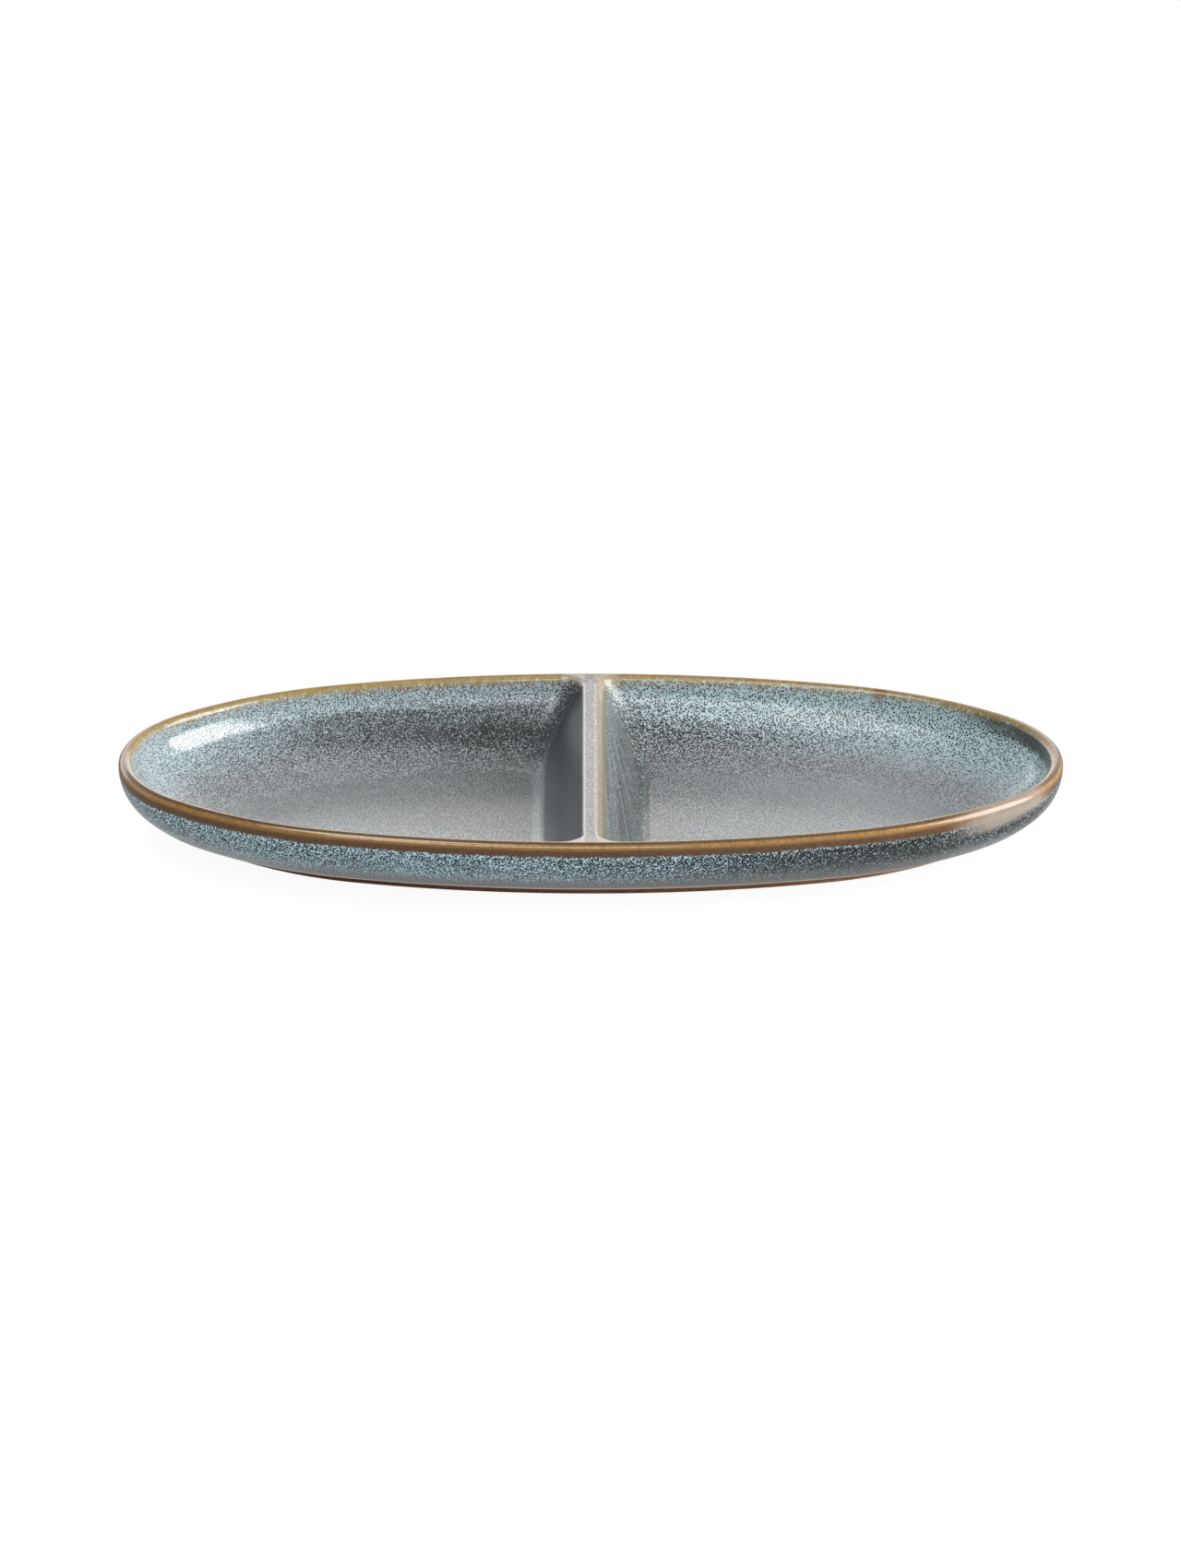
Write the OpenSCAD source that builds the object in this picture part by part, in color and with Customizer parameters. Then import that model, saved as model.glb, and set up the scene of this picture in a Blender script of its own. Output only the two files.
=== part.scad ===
// Oval stoneware olive dish: a shallow bowl with one divider across its middle, standing on a foot ring.
// Millimetres, +Z up. The origin is on the table under the middle of the dish, and +X runs along it.
// The rim is an oval of eight arcs that run into each other, so that every curve set in from the rim
// is a set of arcs about the same centres, and the wall has one cross-section all the way round.

/* [Rim] */
// Length over the rim
length = 300; // [270:1:340]
// Width over the rim
width = 150; // [136:1:164]
// Height of the rim above the table
height = 29; // [26:0.5:34]
// Radius of the arc at each end of the rim
end_radius = 51; // [47:1:56]
// Half of the angle that each end arc turns through
end_angle = 49; // [45:1:53]
// Half of the angle that the arc along each long side turns through
side_angle = 14; // [11:1:17]

/* [Wall] */
// Thickness of the wall and floor, and width of the rounded lip
wall = 4.4; // [3.4:0.1:5.4]
// Radius of the upper curve of the wall, on the outside
shoulder_radius = 16; // [13:0.5:18]
// How far the wall curves in from the rim before the base is flat
wall_run = 36; // [35:0.5:42]

/* [Foot ring] */
// Height of the flat base above the table
foot_height = 3; // [2:0.1:5]
// Distance from the rim in to the outside of the foot ring
foot_inset = 30; // [24:0.5:32]
// Width of the foot ring
foot_width = 4.5; // [3.2:0.1:5]
// Rounding of the foot ring's two lower edges
foot_edge = 1; // [0.4:0.1:1.4]

/* [Divider] */
// Width of the divider under its rounded top edges
divider_width = 6; // [5:0.1:10]
// Rounding of the divider's two top edges
divider_edge = 2.2; // [1:0.1:2.4]
// Lean of the divider's two faces from upright
divider_draft = 32; // [24:1:36]
// Radius of the hollow curve from each face of the divider to the floor
floor_fillet = 6; // [4:0.5:9]
// Radius of the hollow curve from each face of the divider to the wall
corner_fillet = 7; // [5:0.5:12]

/* [Hidden] */
$fn = 120;

glaze_colour = "#8a9ba3";
clay_colour = "#8a6248";

// Steps of the curves in the wall's cross-section: the base and shoulder arcs, a quarter of the lip
// and a rounded edge of the foot ring. The divider is sliced at the same steps.
base_steps = 10;
shoulder_steps = 8;
lip_steps = 6;
foot_steps = 4;
// Steps of the divider's outline: along each corner curve and half of each end
corner_steps = 9;
end_steps = 4;
// Steps along each arc of the floor's edge, which lies within the wall's section
floor_steps = 4;
// Degrees by which each arc runs into its neighbours, so that they join
arc_overlap = 0.00001;

function direction(angle) = [cos(angle), sin(angle)];

// Points along an arc, both ends included, or all but the first
function arc_points(centre, radius, from, to, steps, first = 0) =
    [for (i = [first : steps]) centre + radius * direction(from + (to - from) * i / steps)];

// The oval: an end arc, a turn arc and a side arc in each quarter, tangent where they meet. The turn and
// side radii solve the two equations that bring the three arcs from the rim's end to its side.
half_length = length / 2;
half_width = width / 2;
turn_angle = 90 - side_angle;
end_reach = end_radius * (1 - cos(end_angle));
across = [cos(end_angle) - cos(turn_angle), cos(turn_angle), half_length - end_reach];
along = [sin(end_angle) - sin(turn_angle), sin(turn_angle) - 1, end_radius * sin(end_angle) - half_width];
determinant = across[0] * along[1] - across[1] * along[0];
turn_radius = (across[2] * along[1] - across[1] * along[2]) / determinant;
side_radius = (across[0] * along[2] - across[2] * along[0]) / determinant;
end_centre = [half_length - end_radius, 0];
turn_centre = end_centre - (turn_radius - end_radius) * direction(end_angle);
side_centre = [0, half_width - side_radius];

// Every arc of the rim: centre, radius, first angle and last angle
rim_arcs = [
    [end_centre, end_radius, -end_angle, end_angle],
    [turn_centre, turn_radius, end_angle, turn_angle],
    [side_centre, side_radius, turn_angle, 180 - turn_angle],
    [[-turn_centre.x, turn_centre.y], turn_radius, 180 - turn_angle, 180 - end_angle],
    [-end_centre, end_radius, 180 - end_angle, 180 + end_angle],
    [-turn_centre, turn_radius, 180 + end_angle, 180 + turn_angle],
    [-side_centre, side_radius, 180 + turn_angle, 360 - turn_angle],
    [[turn_centre.x, -turn_centre.y], turn_radius, -turn_angle, -end_angle]
];

// The wall's cross-section: a shoulder arc that leaves the lip upright, then a flatter base arc that
// reaches the base level, both about centres inside the bowl
lip_radius = wall / 2;
lip_height = height - lip_radius;
lip_centre = [lip_radius, lip_height];
wall_drop = lip_height - foot_height;
base_radius = ((wall_run - shoulder_radius) ^ 2 + wall_drop ^ 2 - shoulder_radius ^ 2)
    / (2 * (wall_drop - shoulder_radius));
shoulder_centre = [shoulder_radius, lip_height];
base_centre = [wall_run, foot_height + base_radius];
base_angle = atan2(wall_run - shoulder_radius, base_radius - wall_drop);
meet_angle = 270 - base_angle;
inner_shoulder_radius = shoulder_radius - wall;
inner_base_radius = base_radius - wall;
floor_height = foot_height + wall;

// Cross-sections are drawn with x as the distance in from the rim and y as the height.
// The wall's runs from the base, out and up to the lip and back in to the edge of the floor.
wall_reach = wall_run + wall;
wall_section = concat(
    [[wall_reach, foot_height]],
    arc_points(base_centre, base_radius, 270, meet_angle, base_steps),
    arc_points(shoulder_centre, shoulder_radius, meet_angle, 180, shoulder_steps, 1),
    arc_points(lip_centre, lip_radius, 180, 0, 2 * lip_steps, 1),
    arc_points(shoulder_centre, inner_shoulder_radius, 180, meet_angle, shoulder_steps, 1),
    arc_points(base_centre, inner_base_radius, meet_angle, 270, base_steps, 1),
    [[wall_reach, floor_height]]
);

// The floor's edge runs along the middle of the flat end of the wall's section
floor_inset = (wall_run + wall_reach) / 2;
floor_outline = [for (arc = rim_arcs)
    each arc_points(arc[0], arc[1] - floor_inset, arc[2], arc[3], floor_steps, 1)];

// The foot ring's section is drawn up into the wall, which is then cut out of it
foot_top = base_centre.y - sqrt(base_radius ^ 2 - (wall_run - foot_inset) ^ 2) + lip_radius;
foot_outer = foot_inset + foot_edge;
foot_inner = foot_inset + foot_width - foot_edge;
foot_block = concat(
    [[foot_inset, foot_top]],
    arc_points([foot_outer, foot_edge], foot_edge, 180, 270, foot_steps),
    arc_points([foot_inner, foot_edge], foot_edge, 270, 360, foot_steps),
    [[foot_inset + foot_width, foot_top]]
);

// Move by a distance in two parts, the hundredths first, so that arcs that meet agree to the last digit
module place(distance) {
    hundredths = [for (part = distance) round(part * 100) / 100];
    translate(hundredths) translate(distance - hundredths) children();
}

// Carry a cross-section along one arc of the rim
module along_arc(arc) {
    place(arc[0])
        rotate_extrude(start = arc[2] - arc_overlap, angle = arc[3] - arc[2] + 2 * arc_overlap)
            place([arc[1], 0])
                mirror([1, 0])
                    children();
}

// Half of the divider's thickness at a height: hollow at the floor, then leaning, then rounded at the top
edge_height = height - divider_edge;
edge_centre = divider_width / 2 - divider_edge;
fillet_height = floor_height + floor_fillet;
function face_x(z) =
    edge_centre + divider_edge / cos(divider_draft) + (edge_height - z) * tan(divider_draft);
fillet_centre = face_x(fillet_height) + floor_fillet / cos(divider_draft);
function half_divider(z) =
    z > edge_height + divider_edge * sin(divider_draft)
        ? edge_centre + sqrt(max(0, divider_edge ^ 2 - (z - edge_height) ^ 2))
    : z < fillet_height - floor_fillet * sin(divider_draft)
        ? fillet_centre - sqrt(max(0, floor_fillet ^ 2 - (fillet_height - z) ^ 2))
    : face_x(z);

// The levels at which the divider is sliced follow the inside of the wall, from the floor to the lip's
// crest: distance in from the rim, and height
levels = concat(
    arc_points(base_centre, inner_base_radius, 270, meet_angle, base_steps),
    arc_points(shoulder_centre, inner_shoulder_radius, meet_angle, 180, shoulder_steps, 1),
    arc_points(lip_centre, lip_radius, 0, 90, lip_steps, 1)
);

// A quarter of the divider's plan outline at a level: the corner curve from its face out to the wall,
// and then along the wall to the middle. Above the lip's widest point both are rounded off together.
function quarter_slice(inset, z) =
    let (
        x = half_divider(z),
        radius = corner_fillet + max(0, wall - inset),
        reach = side_radius - inset - radius,
        centre = [x + radius, side_centre.y + sqrt(reach ^ 2 - (x + radius) ^ 2)],
        touch = atan2(centre.y - side_centre.y, centre.x)
    )
    concat(
        arc_points(centre, radius, 180, touch, corner_steps),
        arc_points(side_centre, side_radius - inset, touch, 90, end_steps, 1)
    );

// The right-hand side of the divider's plan outline, from the near wall's middle to the far wall's
function right_side(inset, z) =
    let (quarter = quarter_slice(inset, z))
    concat([for (i = [len(quarter) - 1 : -1 : 0]) [quarter[i].x, -quarter[i].y]], quarter);

// A closed solid through outlines that are alike on both sides of the Y axis, each given by its
// right-hand side, from the lowest to the highest
module symmetric_loft(sides, heights) {
    last = len(sides[0]) - 1;
    count = 2 * last;
    top = (len(sides) - 1) * count;
    points = [for (k = [0 : len(sides) - 1])
        each concat(
            [for (p = sides[k]) [p.x, p.y, heights[k]]],
            [for (i = [last - 1 : -1 : 1]) [-sides[k][i].x, sides[k][i].y, heights[k]]]
        )];
    walls = [for (k = [0 : len(sides) - 2]) for (i = [0 : count - 1])
        let (a = k * count + i, b = k * count + (i + 1) % count)
        each [[a, a + count, b + count], [a, b + count, b]]];
    // Triangles across the outline, between each point and the one opposite it
    cap = concat(
        [for (i = [0 : last - 2]) [i, i + 1, count - i - 1]],
        [for (i = [1 : last - 1]) [i, count - i - 1, count - i]]
    );
    lid = [for (face = cap) [top + face[2], top + face[1], top + face[0]]];
    polyhedron(points, concat(cap, walls, lid));
}

// Bowl: floor and curved wall of one thickness, with a fully rounded lip
module bowl() {
    color(glaze_colour) {
        for (arc = rim_arcs)
            along_arc(arc) polygon(wall_section);
        translate([0, 0, foot_height]) linear_extrude(wall) polygon(floor_outline);
    }
}

// Divider: a ridge across the middle with leaning faces, level with the rim, that flares into the bowl
module divider() {
    color(glaze_colour)
        symmetric_loft(
            [for (level = levels) right_side(level.x, level.y)],
            [for (level = levels) level.y]
        );
}

// Foot ring: the unglazed ring of clay that the dish stands on
module foot_ring() {
    color(clay_colour)
        for (arc = rim_arcs)
            along_arc(arc)
                difference() {
                    polygon(foot_block);
                    polygon(wall_section);
                }
}

bowl();
divider();
foot_ring();
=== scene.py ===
import math

import bmesh
import bpy
from mathutils import Matrix, Vector


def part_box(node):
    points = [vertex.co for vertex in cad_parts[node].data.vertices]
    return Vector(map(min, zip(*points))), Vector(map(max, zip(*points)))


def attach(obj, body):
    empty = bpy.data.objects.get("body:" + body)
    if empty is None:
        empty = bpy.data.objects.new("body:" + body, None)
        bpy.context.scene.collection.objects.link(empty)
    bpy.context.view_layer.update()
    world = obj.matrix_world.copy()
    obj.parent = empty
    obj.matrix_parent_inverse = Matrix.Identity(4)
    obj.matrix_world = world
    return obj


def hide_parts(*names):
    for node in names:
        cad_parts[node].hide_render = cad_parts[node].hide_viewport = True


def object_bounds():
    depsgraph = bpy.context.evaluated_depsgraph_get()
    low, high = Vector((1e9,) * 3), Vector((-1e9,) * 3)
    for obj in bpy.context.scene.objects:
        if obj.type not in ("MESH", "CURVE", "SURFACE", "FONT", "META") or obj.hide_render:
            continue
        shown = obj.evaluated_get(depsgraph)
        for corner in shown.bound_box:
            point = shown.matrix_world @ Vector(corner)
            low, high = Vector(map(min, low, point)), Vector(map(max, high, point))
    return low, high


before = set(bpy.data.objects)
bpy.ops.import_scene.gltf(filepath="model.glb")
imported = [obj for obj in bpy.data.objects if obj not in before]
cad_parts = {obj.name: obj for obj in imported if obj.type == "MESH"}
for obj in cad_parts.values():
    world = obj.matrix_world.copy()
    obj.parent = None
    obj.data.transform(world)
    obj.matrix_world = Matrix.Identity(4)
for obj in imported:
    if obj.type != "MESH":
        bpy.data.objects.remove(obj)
cad_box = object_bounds()

# Bowl: the oval dish itself, of brown stoneware clay pressed in a mould, with a wall of one thickness that
# curves up from a flat base to a fully rounded lip. It is dipped in a reactive glaze that grows pale blue
# crystals over a dark ground, runs thin on the lip and breaks to ochre and brown there.
end_radius = 0.051
end_angle = math.radians(49)
side_angle = math.radians(14)
wall = 0.0044
shoulder_radius = 0.016
wall_run = 0.036
rim_spacing = 0.0025
weld = 1e-6

half_length, half_width, height = cad_box[1]
base_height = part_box("bowl")[0].z
floor_height = base_height + wall
turn_angle = math.pi / 2 - side_angle


def direction(angle):
    return Vector((math.cos(angle), math.sin(angle)))


# The rim is an oval of eight arcs. The turn and side radii bring a quarter of it from its end to its side.
across = (math.cos(end_angle) - math.cos(turn_angle), math.cos(turn_angle))
along = (math.sin(turn_angle) - math.sin(end_angle), 1 - math.sin(turn_angle))
left_to_go = (
    half_length - end_radius * (1 - math.cos(end_angle)),
    half_width - end_radius * math.sin(end_angle),
)
turn_radius, side_radius = Matrix((across, along)).inverted() @ Vector(left_to_go)
end_centre = Vector((half_length - end_radius, 0))
turn_centre = end_centre - (turn_radius - end_radius) * direction(end_angle)
side_centre = Vector((0, half_width - side_radius))
quarter_rim = [
    (end_centre, end_radius, end_angle),
    (turn_centre, turn_radius, turn_angle - end_angle),
    (side_centre, side_radius, side_angle),
]


def sweep_round_rim(bm, section):
    """Carry a section that stands at the right-hand end of the dish once round the rim and close it."""
    for turn, (x, y) in enumerate([(1, 1), (-1, 1), (-1, -1), (1, -1)]):
        for centre, radius, angle in quarter_rim[::-1] if turn % 2 else quarter_rim:
            pivot = (centre.x * x, centre.y * y, 0)
            steps = math.ceil(radius * angle / rim_spacing)
            made = bmesh.ops.spin(bm, geom=section, cent=pivot, axis=(0, 0, 1), angle=angle, steps=steps)
            section = made["geom_last"]
    bmesh.ops.remove_doubles(bm, verts=bm.verts, dist=weld)


def section_point(inset, level):
    """A place in the section at the dish's right-hand end, by its distance in from the rim and its height."""
    return Vector((half_length - inset, 0, level))


def draw_line(bm, vert, inset, level):
    """Run the section's outline straight to a new point, and return it."""
    made = bmesh.ops.extrude_vert_indiv(bm, verts=[vert])
    made["verts"][0].co = section_point(inset, level)
    return made["verts"][0]


def swing(bm, vert, centre, axis, angle, steps):
    """Run an outline round an arc from a point, and return its end."""
    made = bmesh.ops.spin(bm, geom=[vert], cent=centre, axis=axis, angle=angle, steps=steps)
    return next(item for item in made["geom_last"] if isinstance(item, bmesh.types.BMVert))


def draw_arc(bm, vert, centre, angle, steps):
    """Run the section's outline round an arc, clockwise as seen from the near side, and return its end."""
    return swing(bm, vert, section_point(*centre), (0, 1, 0), angle, steps)


# The wall's section: a shoulder arc that leaves the lip upright, and a flatter arc down to the base
lip_radius = wall / 2
lip_level = height - lip_radius
wall_drop = lip_level - base_height
run_past_shoulder = wall_run - shoulder_radius
base_radius = run_past_shoulder ** 2 + wall_drop ** 2 - shoulder_radius ** 2
base_radius /= 2 * (wall_drop - shoulder_radius)
base_angle = math.atan2(run_past_shoulder, base_radius - wall_drop)
shoulder_angle = math.pi / 2 - base_angle
base_centre = (wall_run, base_height + base_radius)
shoulder_centre = (shoulder_radius, lip_level)
lip_centre = (lip_radius, lip_level)
wall_reach = wall_run + wall
wall_steps = 14
lip_steps = 22

bm = bmesh.new()
point = bm.verts.new(section_point(wall_reach, base_height))
point = draw_line(bm, point, wall_run, base_height)
point = draw_arc(bm, point, base_centre, -base_angle, wall_steps)
point = draw_arc(bm, point, shoulder_centre, -shoulder_angle, wall_steps)
point = draw_arc(bm, point, lip_centre, -math.pi, lip_steps)
point = draw_arc(bm, point, shoulder_centre, shoulder_angle, wall_steps)
point = draw_arc(bm, point, base_centre, base_angle, wall_steps)
draw_line(bm, point, wall_reach, floor_height)

# How far each point of the section lies from the crest of the lip, along the glaze: inside is more than zero
run_layer = bm.verts.layers.float.new("glaze_run")
profile = bm.verts[:]
crest = profile.index(max(profile, key=lambda vert: vert.co.z))
for side, sign in ((profile[crest:], 1), (profile[crest::-1], -1)):
    for before, here in zip(side, side[1:]):
        here[run_layer] = before[run_layer] + sign * (here.co - before.co).length
floor_run = profile[-2][run_layer]
sweep_round_rim(bm, bm.verts[:] + bm.edges[:])
open_edges = [edge for edge in bm.edges if edge.is_boundary]
bmesh.ops.holes_fill(bm, edges=open_edges, sides=0)
bmesh.ops.recalc_face_normals(bm, faces=bm.faces)


def make_object(name, bm, material):
    """Turn a finished mesh into an object of one material."""
    mesh = bpy.data.meshes.new(name)
    bm.to_mesh(mesh)
    bm.free()
    mesh.materials.append(material)
    made = bpy.data.objects.new(name, mesh)
    bpy.context.scene.collection.objects.link(made)
    return made


def finish_piece(name, bm, material):
    """Make a piece of the dish, smooth but for its true edges."""
    sharp_angle = math.radians(50)
    for face in bm.faces:
        face.smooth = True
    for edge in bm.edges:
        edge.smooth = edge.calc_face_angle(0) < sharp_angle
    piece = make_object(name, bm, material)
    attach(piece, "root")
    return piece


def colour(code):
    """A screen colour, written as #rrggbb, as the linear colour that shaders take."""
    parts = [int(code[i:i + 2], 16) / 255 for i in (1, 3, 5)]
    return (*[c / 12.92 if c <= 0.04045 else ((c + 0.055) / 1.055) ** 2.4 for c in parts], 1)


def add_node(tree, kind, inputs=None, **settings):
    """Add a shader node, with its settings and with its inputs set to values or joined to other sockets."""
    node = tree.nodes.new("ShaderNode" + kind)
    for name, value in settings.items():
        setattr(node, name, value)
    for key, value in (inputs or {}).items():
        if isinstance(value, bpy.types.NodeSocket):
            tree.links.new(value, node.inputs[key])
        else:
            node.inputs[key].default_value = value
    return node


def math_node(tree, operation, *values):
    return add_node(tree, "Math", dict(enumerate(values)), operation=operation).outputs[0]


def product(tree, first, *others):
    for other in others:
        first = math_node(tree, "MULTIPLY", first, other)
    return first


def largest(tree, first, *others):
    for other in others:
        first = math_node(tree, "MAXIMUM", first, other)
    return first


def ramp_up(tree, value, low, high, to_low=0.0, to_high=1.0):
    """A value that goes from to_low to to_high as another goes from low to high, eased at both ends."""
    inputs = {"Value": value, "From Min": low, "From Max": high, "To Min": to_low, "To Max": to_high}
    return add_node(tree, "MapRange", inputs, interpolation_type="SMOOTHSTEP").outputs[0]


def mix(tree, share, first, second):
    return add_node(tree, "Mix", {0: share, 6: first, 7: second}, data_type="RGBA").outputs[2]


def blend_values(tree, share, first, second):
    return add_node(tree, "Mix", {0: share, 2: first, 3: second}, data_type="FLOAT").outputs[0]


def noise(tree, place, scale, detail=2.0, roughness=0.5):
    inputs = {"Vector": place, "Scale": scale, "Detail": detail, "Roughness": roughness}
    return add_node(tree, "TexNoise", inputs).outputs[0]


def cells(tree, place, scale):
    """How far each place is from the nearest of many scattered points, in spacings."""
    inputs = {"Vector": place, "Scale": scale, "Randomness": 0.9}
    return add_node(tree, "TexVoronoi", inputs).outputs["Distance"]


def stretched(tree, place, scale):
    return add_node(tree, "Mapping", {"Vector": place, "Scale": scale}).outputs[0]


def new_material(name):
    """An empty material, and its nodes."""
    material = bpy.data.materials.new(name)
    material.use_nodes = True
    material.node_tree.nodes.clear()
    return material, material.node_tree


def new_finish(name):
    """A material for a piece of the dish, its nodes, and the shader that they feed."""
    material, tree = new_material(name)
    surface = add_node(tree, "BsdfPrincipled")
    add_node(tree, "OutputMaterial", {"Surface": surface.outputs[0]})
    return material, tree, surface


glaze, tree, surface = new_finish("Reactive glaze")
place = add_node(tree, "TexCoord").outputs["Object"]
along_dish, across_dish, above_table = add_node(tree, "SeparateXYZ", {0: place}).outputs
to_end = math_node(tree, "ABSOLUTE", along_dish)
on_divider = add_node(tree, "Attribute", attribute_name="divider_share").outputs["Fac"]
off_divider = math_node(tree, "SUBTRACT", 1.0, on_divider)
wander = math_node(tree, "SUBTRACT", noise(tree, place, 70), 0.5)
drips = math_node(tree, "SUBTRACT", noise(tree, stretched(tree, place, (700, 700, 60)), 1.0, 1.5), 0.5)

# Millimetres along the glaze from the crest of the lip: more than zero inside, less than zero outside
run = add_node(tree, "Attribute", attribute_name="glaze_run").outputs["Fac"]
run = product(tree, run, 1000.0)
outside = ramp_up(tree, run, -4.0, -6.0)

# Where it lay level, on the floor, under the wall and mostly on the divider, its crystals are softer and
# greyer. Under the right-hand half that starts further down the wall.
floor_calm = ramp_up(tree, run, 11.5, 33.0)
under = math_node(tree, "ADD", run, ramp_up(tree, along_dish, 0.03, 0.12, 0.0, 8.0))
under_calm = ramp_up(tree, under, -15.0, -25.0)
calm = largest(tree, floor_calm, under_calm, product(tree, on_divider, 0.85))

# The crystals, by how many there are to a metre: on the walls of the left and right wells, where the glaze
# lay level, and outside
left_crystals = cells(tree, place, 2050)
right_crystals = cells(tree, place, 1600)
level_crystals = cells(tree, place, 1800)
outer_crystals = cells(tree, place, 1850)
grain = blend_values(tree, ramp_up(tree, along_dish, 0.0, 0.02), left_crystals, right_crystals)
grain = blend_values(tree, calm, grain, level_crystals)
grain = blend_values(tree, outside, grain, outer_crystals)

# How much dark ground shows between them: outside, more towards the right. Painted shade makes more of it
# show in a band below the shoulder, most in the left well, on the divider's faces, most on its left face but
# for its foot and low on its right face, and on the floors towards the middle
band_shade = product(
    tree, ramp_up(tree, run, 7.5, 12.0), ramp_up(tree, run, 34.0, 17.0),
    ramp_up(tree, along_dish, -0.03, 0.03, 0.13, 0.06), ramp_up(tree, to_end, 0.135, 0.07),
)
open_side = product(tree, ramp_up(tree, run, -5.0, -7.0), ramp_up(tree, along_dish, -0.04, 0.1, 0.1, 0.26))
off_floor = ramp_up(tree, above_table, floor_height + 0.0006, floor_height + 0.0026)
off_floor = largest(tree, off_floor, ramp_up(tree, along_dish, 0.005, 0.01, 0.0, 1.6))
face_shade = product(tree, on_divider, ramp_up(tree, along_dish, -0.0005, -0.0035, 0.15, 0.36), off_floor)
bare = largest(tree, band_shade, open_side, face_shade)
# Painted shade on the left floor towards the divider, and painted light on the right floor towards its end
to_middle = ramp_up(tree, along_dish, -0.09, -0.015, 0.0, 0.1)
past_middle = ramp_up(tree, along_dish, 0.015, 0.1, 0.0, -0.11)
floor_light_and_shade = product(tree, math_node(tree, "ADD", to_middle, past_middle), ramp_up(tree, run, 11.0, 22.0))
bare = math_node(tree, "MULTIPLY_ADD", floor_light_and_shade, off_divider, bare)
usual = ramp_up(tree, along_dish, -0.01, 0.03, 0.45, 0.43)
bare = math_node(tree, "MULTIPLY_ADD", wander, -0.08, math_node(tree, "ADD", bare, usual))
soft = blend_values(tree, calm, blend_values(tree, outside, 0.13, 0.08), 0.16)
soft = product(tree, soft, ramp_up(tree, along_dish, 0.0, 0.06, 1.0, 0.5))
crystal = ramp_up(tree, grain, math_node(tree, "SUBTRACT", bare, soft), math_node(tree, "ADD", bare, soft))

# Their colours: pale blue on an iron-black ground, greyed by painted shade in the band below the shoulder,
# and grey where it lay level, with painted light making it lightest on the near side of the left floor
iron_black, iron_grey, slate_blue = colour("#1c1d1d"), colour("#2a2a2a"), colour("#333d44")
frost, ice, shaded_grey = colour("#adbec2"), colour("#b4ccd0"), colour("#676f71")
sky_blue, sea_grey = colour("#bbdce6"), colour("#93a8ac")
ash_grey, lit_ash_grey, violet_grey, mist_grey = map(colour, ("#95999b", "#c0c2c3", "#6b6a71", "#929d9f"))
left_face = product(tree, on_divider, ramp_up(tree, along_dish, -0.003, -0.005))
ground = mix(tree, calm, iron_black, mix(tree, left_face, iron_grey, slate_blue))
inner_bloom = mix(tree, ramp_up(tree, along_dish, 0.0, 0.05), frost, ice)
inner_bloom = mix(tree, product(tree, band_shade, 4.0), inner_bloom, shaded_grey)
outer_bloom = mix(tree, ramp_up(tree, along_dish, 0.0, 0.1), sky_blue, sea_grey)
near_left_light = product(tree, ramp_up(tree, across_dish, 0.0, -0.035), ramp_up(tree, along_dish, 0.0, -0.02))
settled = mix(tree, near_left_light, ash_grey, lit_ash_grey)
settled = mix(tree, outside, settled, violet_grey)
settled = mix(tree, product(tree, on_divider, off_floor), settled, mist_grey)
bloom = mix(tree, calm, mix(tree, outside, inner_bloom, outer_bloom), settled)
tint = mix(tree, crystal, ground, bloom)

# Where it ran thin: ochre outside the crest of the lip and sallow inside it, dark along the crest, with a
# brown line at each edge. At the near right the lip is painted pale pink, a painted reflection, with one dark
# line inside its crest.
ochre_dark, ochre_light, pink_glare = colour("#6e4a1c"), colour("#b0823f"), colour("#98867a")
sallow_dark, sallow_light, sallow_right = colour("#7b6633"), colour("#a3905c"), colour("#5f4f2a")
crest_brown, inner_brown, outer_brown = colour("#3a2814"), colour("#845520"), colour("#5a3812")
waver = math_node(tree, "MULTIPLY_ADD", wander, 2.5, product(tree, drips, 3.0))
waver = math_node(tree, "MULTIPLY_ADD", math_node(tree, "SUBTRACT", grain, 0.5), 4.0, waver)
inward = math_node(tree, "ADD", run, waver)
outward = math_node(tree, "MULTIPLY_ADD", waver, 0.3, product(tree, run, -1.0))
thin = product(tree, ramp_up(tree, inward, 4.6, 2.0), ramp_up(tree, outward, 6.3, 5.3), off_divider)
streaks = math_node(tree, "ADD", drips, 0.5)
outer_lip = mix(tree, streaks, ochre_dark, ochre_light)
inner_lip = mix(tree, streaks, sallow_dark, sallow_light)
inner_lip = mix(tree, ramp_up(tree, along_dish, 0.0, 0.08, 0.0, 0.35), inner_lip, sallow_right)
lip = mix(tree, ramp_up(tree, run, 0.2, 1.6), outer_lip, inner_lip)
lip = mix(tree, ramp_up(tree, run, 2.6, 4.0), lip, inner_brown)
# The near right of the lip, where the painted reflections lie
glare_end = product(
    tree, ramp_up(tree, along_dish, 0.11, 0.127), ramp_up(tree, along_dish, 0.147, 0.139),
    ramp_up(tree, across_dish, -0.01, -0.03),
)
lip = mix(tree, product(tree, glare_end, 0.7), lip, pink_glare)
crest_line = product(tree, ramp_up(tree, run, -1.9, -1.2), ramp_up(tree, run, 0.3, -0.3))
inner_line = product(tree, ramp_up(tree, run, -0.5, 0.1), ramp_up(tree, run, 1.8, 1.0))
crest_line = blend_values(tree, glare_end, crest_line, inner_line)
lip = mix(tree, product(tree, crest_line, 0.8), lip, crest_brown)
edge_line = product(tree, ramp_up(tree, outward, 2.6, 3.8), math_node(tree, "SUBTRACT", 1.0, glare_end))
lip = mix(tree, edge_line, lip, outer_brown)
tint = mix(tree, product(tree, thin, 0.94), tint, lip)
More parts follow.
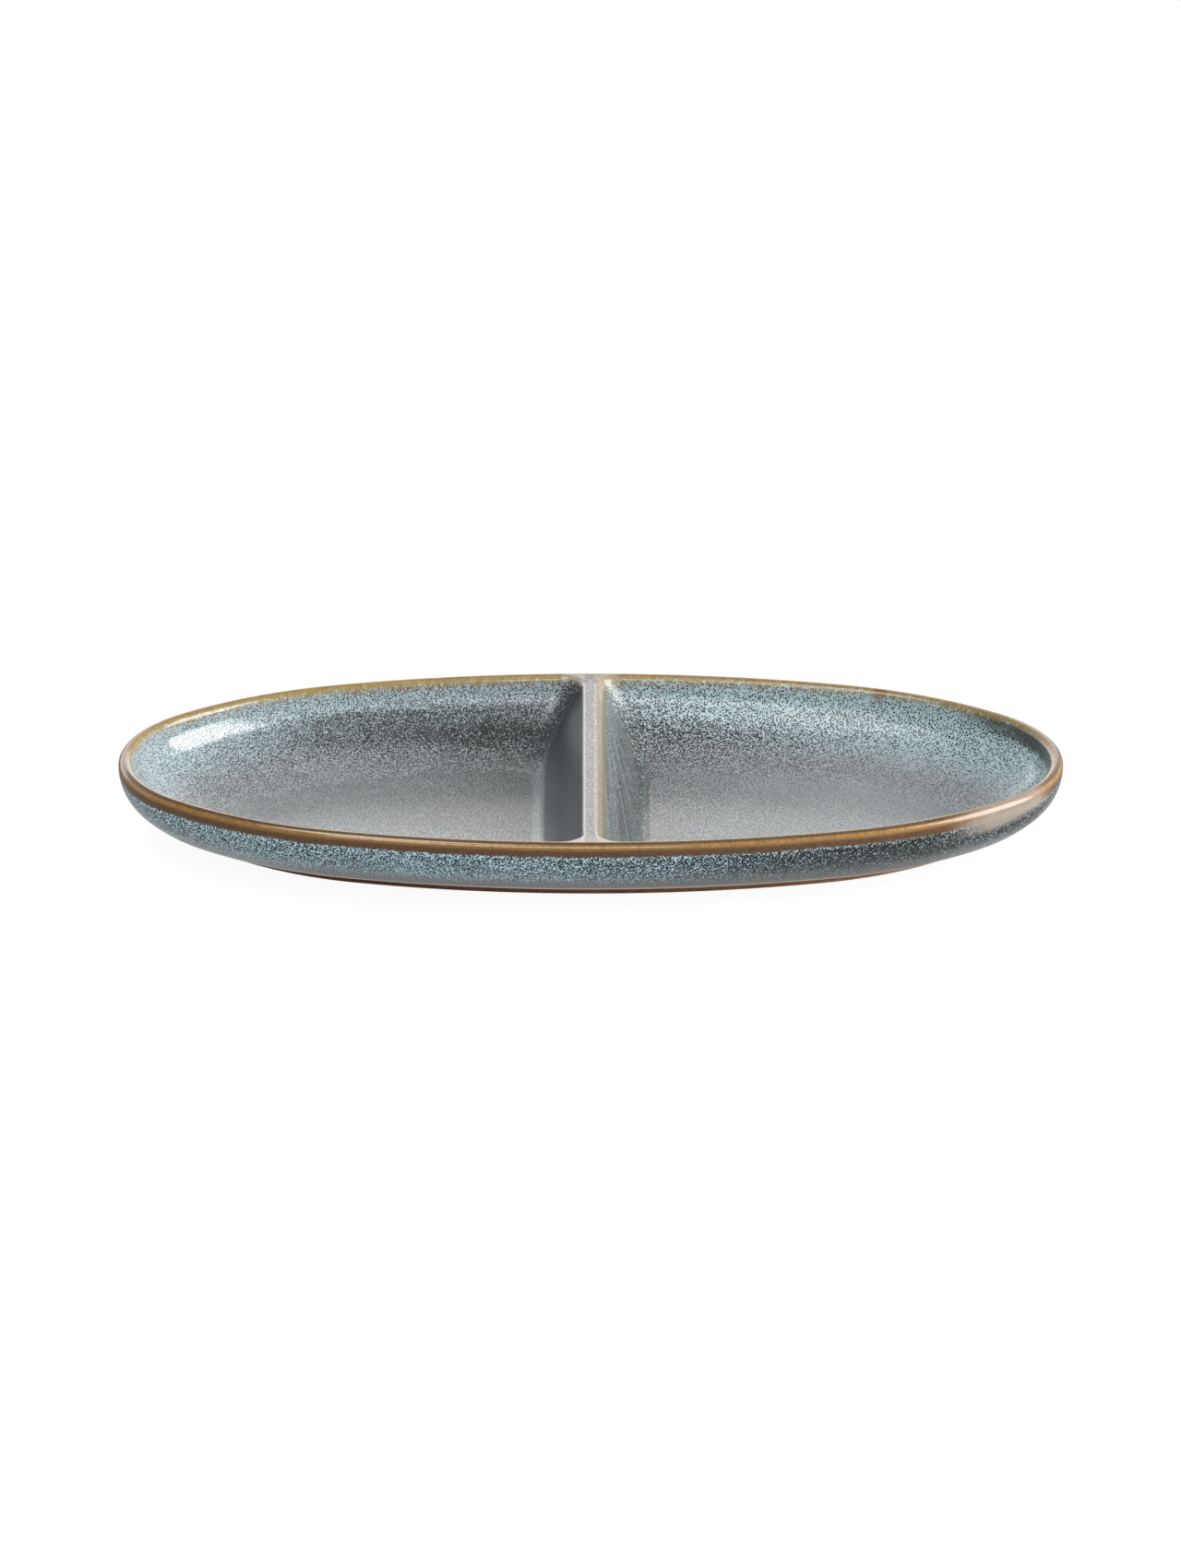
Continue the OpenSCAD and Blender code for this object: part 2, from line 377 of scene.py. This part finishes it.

# A painted reflection, a beige patch under the pale part of the lip, narrower towards the end, and a painted
# reflection of the white table, a pale line above the foot
beige_glare, reflected_white = colour("#9c9186"), colour("#dfd7d4")
sloping = math_node(tree, "ADD", outward, ramp_up(tree, along_dish, 0.126, 0.142, 0.0, 2.5))
glare_patch = product(
    tree, glare_end, ramp_up(tree, outward, 2.8, 4.6, 0.0, 0.85), ramp_up(tree, sloping, 11.0, 7.5))
tint = mix(tree, glare_patch, tint, beige_glare)
tint = mix(tree, ramp_up(tree, run, -27.0, -28.5, 0.0, 0.85), tint, reflected_white)

# A painted reflection of the dish's dark inside, a darker band inside the lip at the right-hand end, and one
# brown drop on the far rim
reflected_black, drop_brown = colour("#171c1f"), colour("#7a4514")
drop_place = (0.0934, 0.0596, height - 0.0015)
dark_reflection_band = product(
    tree, ramp_up(tree, along_dish, 0.116, 0.132), ramp_up(tree, run, 1.8, 3.0, 0.0, 0.95),
    ramp_up(tree, inward, 8.5, 6.0), ramp_up(tree, across_dish, 0.035, 0.015, 0.7, 1.0),
)
tint = mix(tree, dark_reflection_band, tint, reflected_black)
drop_off = add_node(tree, "VectorMath", {0: place, 1: drop_place}, operation="DISTANCE").outputs["Value"]
tint = mix(tree, ramp_up(tree, drop_off, 0.0048, 0.0014, 0.0, 0.85), tint, drop_brown)

# The divider's right-hand face, down which the glaze ran in streaks that fan out from the far rim, with an
# olive seam along its top edge
streak_grey, olive = colour("#a3aba6"), colour("#8a7245")
right_face = product(tree, on_divider, ramp_up(tree, along_dish, 0.0024, 0.0032))
fall = math_node(tree, "SUBTRACT", height, above_table)
fan = math_node(tree, "DIVIDE", fall, math_node(tree, "SUBTRACT", half_width, across_dish))
trails = noise(tree, add_node(tree, "CombineXYZ", {0: fan}).outputs[0], 38, 1.0)
trails = product(
    tree, right_face, ramp_up(tree, trails, 0.4, 0.7, 0.0, 0.5),
    ramp_up(tree, across_dish, -0.06, 0.04, 0.4, 1.0),
    ramp_up(tree, above_table, floor_height + 0.001, floor_height + 0.005),
)
tint = mix(tree, trails, tint, streak_grey)
seam = product(tree, right_face, ramp_up(tree, above_table, height - 0.006, height - 0.002, 0.0, 0.8))
tint = mix(tree, seam, tint, olive)

# The divider's top, where the glaze pooled: specked grey, beige at the right, and a painted highlight, a
# white line at the left
top_dark, top_grey, top_beige, top_highlight = map(colour, ("#5a534e", "#948a83", "#b4a896", "#e2dedc"))
top = math_node(tree, "ADD", above_table, ramp_up(tree, along_dish, 0.0, 0.002, 0.0, 0.0016))
top = product(tree, on_divider, ramp_up(tree, top, height - 0.0017, height - 0.0003))
pale = mix(tree, crystal, top_dark, top_grey)
pale = mix(tree, ramp_up(tree, along_dish, 0.0006, 0.0028), pale, top_beige)
pale = mix(tree, ramp_up(tree, along_dish, -0.0014, -0.0024), pale, top_highlight)
tint = mix(tree, product(tree, top, ramp_up(tree, crystal, 0.0, 1.0, 0.6, 0.95)), tint, pale)
tree.links.new(tint, surface.inputs["Base Color"])

# Its gloss: highest on the lip and the divider's top, softer on the walls and floors, and softest low on the
# divider's right-hand face. A clear skin over the floors and the left-hand end mirrors the studio.
rough = ramp_up(tree, along_dish, -0.115, -0.075, 0.14, 0.28)
rough = blend_values(tree, ramp_up(tree, run, 7.0, 18.0), rough, 0.36)
rough = blend_values(tree, ramp_up(tree, to_end, 0.095, 0.13), rough, 0.15)
right_flank = product(tree, on_divider, ramp_up(tree, along_dish, 0.003, 0.007))
rough = blend_values(tree, right_flank, rough, 0.45)
lip_rough = ramp_up(tree, along_dish, 0.0, 0.08, 0.07, 0.17)
rough = blend_values(tree, largest(tree, thin, top), rough, lip_rough)
tree.links.new(rough, surface.inputs["Roughness"])
left_end = product(tree, ramp_up(tree, run, 2.0, 5.0), ramp_up(tree, along_dish, -0.08, -0.105))
skin = blend_values(tree, outside, 0.2, 0.05)
skin = blend_values(tree, left_end, skin, 0.7)
skin = blend_values(tree, floor_calm, skin, 0.95)
tree.links.new(skin, surface.inputs["Coat Weight"])
ripple = add_node(tree, "Bump", {"Strength": 0.1, "Distance": 0.0002, "Height": noise(tree, place, 260)})
tree.links.new(ripple.outputs[0], surface.inputs["Normal"])
surface.inputs["IOR"].default_value = 1.65
surface.inputs["Specular IOR Level"].default_value = 0.36
surface.inputs["Coat Roughness"].default_value = 0.3

bowl = finish_piece("glazed_bowl", bm, glaze)
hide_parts("bowl")

# Divider: a ridge of the same clay across the middle of the bowl, level with the rim. Its two faces lean,
# and flare into the floor and the wall. It is joined on while the clay is soft, and glazed with the bowl.
divider_width = 0.006
divider_edge = 0.0022
draft = math.radians(32)
floor_fillet = 0.006
corner_fillet = 0.007
corner_steps = 14
end_steps = 5
floor_levels = 16
shoulder_levels = 14
lip_levels = 12

edge_level = height - divider_edge
edge_middle = divider_width / 2 - divider_edge
fillet_level = floor_height + floor_fillet


def face_offset(level):
    """How far the leaning face of the divider is from the middle of the dish at a height."""
    return edge_middle + divider_edge / math.cos(draft) + (edge_level - level) * math.tan(draft)


fillet_middle = face_offset(fillet_level) + floor_fillet / math.cos(draft)


def half_divider(level):
    """Half of the divider's thickness at a height: hollow at the floor, then leaning, then rounded."""
    if level > edge_level + divider_edge * math.sin(draft):
        return edge_middle + math.sqrt(max(0, divider_edge ** 2 - (level - edge_level) ** 2))
    if level < fillet_level - floor_fillet * math.sin(draft):
        return fillet_middle - math.sqrt(max(0, floor_fillet ** 2 - (fillet_level - level) ** 2))
    return face_offset(level)


def arc_levels(centre, radius, start, sweep, steps, first=0):
    """Distances in from the rim and heights along an arc of the bowl's inside."""
    angles = [start + sweep * i / steps for i in range(first, steps + 1)]
    return [Vector(centre) + radius * direction(angle) for angle in angles]


down = math.pi * 1.5
inside_wall = arc_levels(base_centre, base_radius - wall, down, -base_angle, floor_levels)
inside_wall += arc_levels(
    shoulder_centre, shoulder_radius - wall, down - base_angle, -shoulder_angle, shoulder_levels, 1)
inside_wall += arc_levels(lip_centre, lip_radius, 0, math.pi / 2, lip_levels, 1)


def turn_point(bm, vert, centre, angle, steps, level):
    """Run a level's outline round an arc in plan, and return its end."""
    return swing(bm, vert, (*centre, level), (0, 0, 1), angle, steps)


# A quarter of the divider, with an outline at each level of the bowl's inside. Each point keeps how far it is
# along the glaze, and its share of the divider: all on the face, and none where the corner meets the wall.
bm = bmesh.new()
run_layer = bm.verts.layers.float.new("glaze_run")
share_layer = bm.verts.layers.float.new("divider_share")
below = None
run_here = floor_run
lower = inside_wall[0]
for inset, level in inside_wall:
    half = half_divider(level)
    radius = corner_fillet + max(0, wall - inset)
    reach = side_radius - inset - radius
    corner = Vector((half + radius, side_centre.y + math.sqrt(reach ** 2 - (half + radius) ** 2)))
    touch = math.atan2(corner.y - side_centre.y, corner.x)
    known = set(bm.edges)
    known_points = set(bm.verts)
    start = bm.verts.new((half, 0, level))
    made = bmesh.ops.extrude_vert_indiv(bm, verts=[start])
    made["verts"][0].co.y = corner.y
    end = turn_point(bm, made["verts"][0], corner, touch - math.pi, corner_steps, level)
    turn_point(bm, end, side_centre, math.pi / 2 - touch, end_steps, level)
    outline = [edge for edge in bm.edges if edge not in known]
    run_here -= (Vector((inset, level)) - lower).length
    lower = Vector((inset, level))
    for vert in bm.verts:
        if vert not in known_points:
            angle = math.atan2(vert.co.y - corner.y, vert.co.x - corner.x)
            share = min(1, max(0, (angle - touch) / (math.pi - touch)))
            vert[run_layer] = run_here
            vert[share_layer] = share if vert.co.y > corner.y else 1
    if below:
        bmesh.ops.bridge_loops(bm, edges=below + outline)
    below = outline
for axis in "XY":
    bmesh.ops.mirror(bm, geom=bm.verts[:] + bm.edges[:] + bm.faces[:], merge_dist=weld, axis=axis)
bmesh.ops.remove_doubles(bm, verts=bm.verts, dist=weld)
bmesh.ops.holes_fill(bm, edges=[edge for edge in bm.edges if edge.is_boundary], sides=0)
bmesh.ops.recalc_face_normals(bm, faces=bm.faces)

divider = finish_piece("glazed_divider", bm, glaze)
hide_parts("divider")

# Foot ring: the low ring of bare clay under the base that the dish stands on. It is wiped clean of glaze
# before firing, so it shows the toasted brown of the stoneware.
foot_inset = 0.030
foot_width = 0.0045
foot_edge = 0.001
foot_steps = 6
foot_inner = foot_inset + foot_width


def base_under(inset):
    """Height of the bowl's underside at a distance in from the rim."""
    return base_centre[1] - math.sqrt(base_radius ** 2 - (wall_run - inset) ** 2)


foot_angle = math.asin((wall_run - foot_inset) / base_radius)
inner_angle = math.asin((wall_run - foot_inner) / base_radius)
bm = bmesh.new()
point = bm.verts.new(section_point(foot_inner, base_under(foot_inner)))
point = draw_line(bm, point, foot_inner, foot_edge)
point = draw_arc(bm, point, (foot_inner - foot_edge, foot_edge), math.pi / 2, foot_steps)
point = draw_line(bm, point, foot_inset + foot_edge, 0)
point = draw_arc(bm, point, (foot_inset + foot_edge, foot_edge), math.pi / 2, foot_steps)
point = draw_line(bm, point, foot_inset, base_under(foot_inset))
draw_arc(bm, point, base_centre, foot_angle - inner_angle, foot_steps)
bmesh.ops.remove_doubles(bm, verts=bm.verts, dist=weld)
sweep_round_rim(bm, bm.verts[:] + bm.edges[:])
bmesh.ops.recalc_face_normals(bm, faces=bm.faces)

# The toasted brown is the clay's own colour, but painted lighter than the clay as painted light on the foot
# in the dish's shade
lit_toasted_clay, lit_pale_clay, grit_brown = colour("#bd8860"), colour("#d9ad86"), colour("#84583a")
clay, tree, surface = new_finish("Bare clay")
place = add_node(tree, "TexCoord").outputs["Object"]
grit = noise(tree, place, 1400, 3.0, 0.65)
toast = noise(tree, place, 70, 3.0)
tint = mix(tree, toast, lit_toasted_clay, lit_pale_clay)
tint = mix(tree, ramp_up(tree, grit, 0.45, 0.7, 0.0, 0.4), tint, grit_brown)
tree.links.new(tint, surface.inputs["Base Color"])
tree.links.new(ramp_up(tree, grit, 0.3, 0.7, 0.62, 0.85), surface.inputs["Roughness"])
tooth = add_node(tree, "Bump", {"Strength": 0.4, "Distance": 0.0003, "Height": grit})
tree.links.new(tooth.outputs[0], surface.inputs["Normal"])

foot = finish_piece("clay_foot_ring", bm, clay)
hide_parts("foot_ring")

# Table: a plain sheet of matt white board that the dish stands on. It fades into the white of the studio and
# keeps the dish's soft shadow. It glows as painted light that the glaze mirrors, most strongly close under
# the dish.
table_side = 12.0
table_white = 0.12
bounce_white = 0.6
table_glow = 0.94

bm = bmesh.new()
bmesh.ops.create_grid(bm, x_segments=1, y_segments=1, size=table_side / 2)
board, tree = new_material("Table")
rays = add_node(tree, "LightPath").outputs
mirrored = largest(tree, rays["Is Glossy Ray"], rays["Is Transmission Ray"])
place = add_node(tree, "TexCoord").outputs["Object"]
ovals = stretched(tree, place, (1 / half_length, 1 / half_width, 1))
ovals = add_node(tree, "VectorMath", {0: ovals}, operation="LENGTH").outputs["Value"]
glow_near_dish = ramp_up(tree, ovals, 1.5, 0.9, 0.15, 0.5)
seen = largest(tree, rays["Is Camera Ray"], product(tree, mirrored, glow_near_dish))
lit, bounced = (table_white,) * 3 + (1,), (bounce_white,) * 3 + (1,)
matt = add_node(tree, "BsdfDiffuse", {"Color": mix(tree, rays["Is Diffuse Ray"], lit, bounced)})
glow = add_node(tree, "Emission", {"Strength": product(tree, seen, table_glow)})
both = add_node(tree, "AddShader", {0: matt.outputs[0], 1: glow.outputs[0]})
add_node(tree, "OutputMaterial", {"Surface": both.outputs[0]})
table = make_object("table", bm, board)

# Studio: a white backdrop that the glaze mirrors, a dim room in front of it, and four soft boxes: one in
# front, one above at the left, a large one at the right and a long low one behind
wall_light = 1.0
room_dark = 0.1
fill_low = 0.12
fill_high = 0.4

world = bpy.data.worlds.new("Studio")
bpy.context.scene.world = world
world.use_nodes = True
tree = world.node_tree
tree.nodes.clear()
towards = add_node(tree, "SeparateXYZ", {0: add_node(tree, "TexCoord").outputs["Generated"]}).outputs
low = ramp_up(tree, towards["Z"], 0.85, 0.45)
white_wall = product(tree, low, ramp_up(tree, towards["Y"], -0.1, 0.4))
studio = blend_values(tree, white_wall, room_dark, wall_light)
room_fill = ramp_up(tree, towards["Z"], -0.1, 0.9, fill_low, fill_high)
rays = add_node(tree, "LightPath").outputs
seen = largest(tree, rays["Is Camera Ray"], rays["Is Glossy Ray"], rays["Is Transmission Ray"])
strength = blend_values(tree, seen, room_fill, studio)
backdrop = add_node(tree, "Background", {"Strength": strength})
add_node(tree, "OutputWorld", {"Surface": backdrop.outputs[0]})


def soft_box(name, azimuth, elevation, distance, width, tall, power):
    """A rectangular soft light that faces the dish. Azimuth 0 is in front, and 90 is at the right."""
    lamp = bpy.data.lights.new(name, "AREA")
    lamp.shape = "RECTANGLE"
    lamp.size = width
    lamp.size_y = tall
    lamp.energy = power
    stand = bpy.data.objects.new(name, lamp)
    bpy.context.scene.collection.objects.link(stand)
    turned, raised = math.radians(azimuth), math.radians(elevation)
    flat = math.cos(raised)
    away = Vector((math.sin(turned) * flat, -math.cos(turned) * flat, math.sin(raised)))
    stand.location = away * distance
    stand.rotation_euler = away.to_track_quat("Z", "Y").to_euler()


soft_box("Front soft box", -12, 40, 2.2, 1.4, 0.5, 13)
soft_box("Right soft box", 80, 24, 1.6, 1.1, 1.4, 38)
soft_box("Top soft box", -50, 64, 1.8, 0.8, 0.8, 13)
soft_box("Back soft box", -165, 14, 2.5, 3.0, 0.9, 11)

# Camera: low in front of the dish, on a long lens, at the photograph's height and distance. The offset
# puts the dish where it is in the photograph's frame.
view_angle = math.radians(21.75)
view_distance = 4.0
sensor_mm = 36
lens_mm = 288.8
view_centre = Vector((0, 0, height / 2))
frame_offset = (-0.00009, 0.00481)

back = Vector((0, -math.cos(view_angle), math.sin(view_angle)))
upright = Vector((0, math.sin(view_angle), math.cos(view_angle)))
lens = bpy.data.cameras.new("Camera")
lens.sensor_width = sensor_mm
lens.lens = lens_mm
camera = bpy.data.objects.new("Camera", lens)
bpy.context.scene.collection.objects.link(camera)
aim = view_centre + Vector((frame_offset[0], 0, 0)) + upright * frame_offset[1]
camera.location = view_centre + back * view_distance
camera.rotation_euler = (camera.location - aim).to_track_quat("Z", "Y").to_euler()
bpy.context.scene.camera = camera
bpy.context.scene.view_settings.view_transform = "Standard"
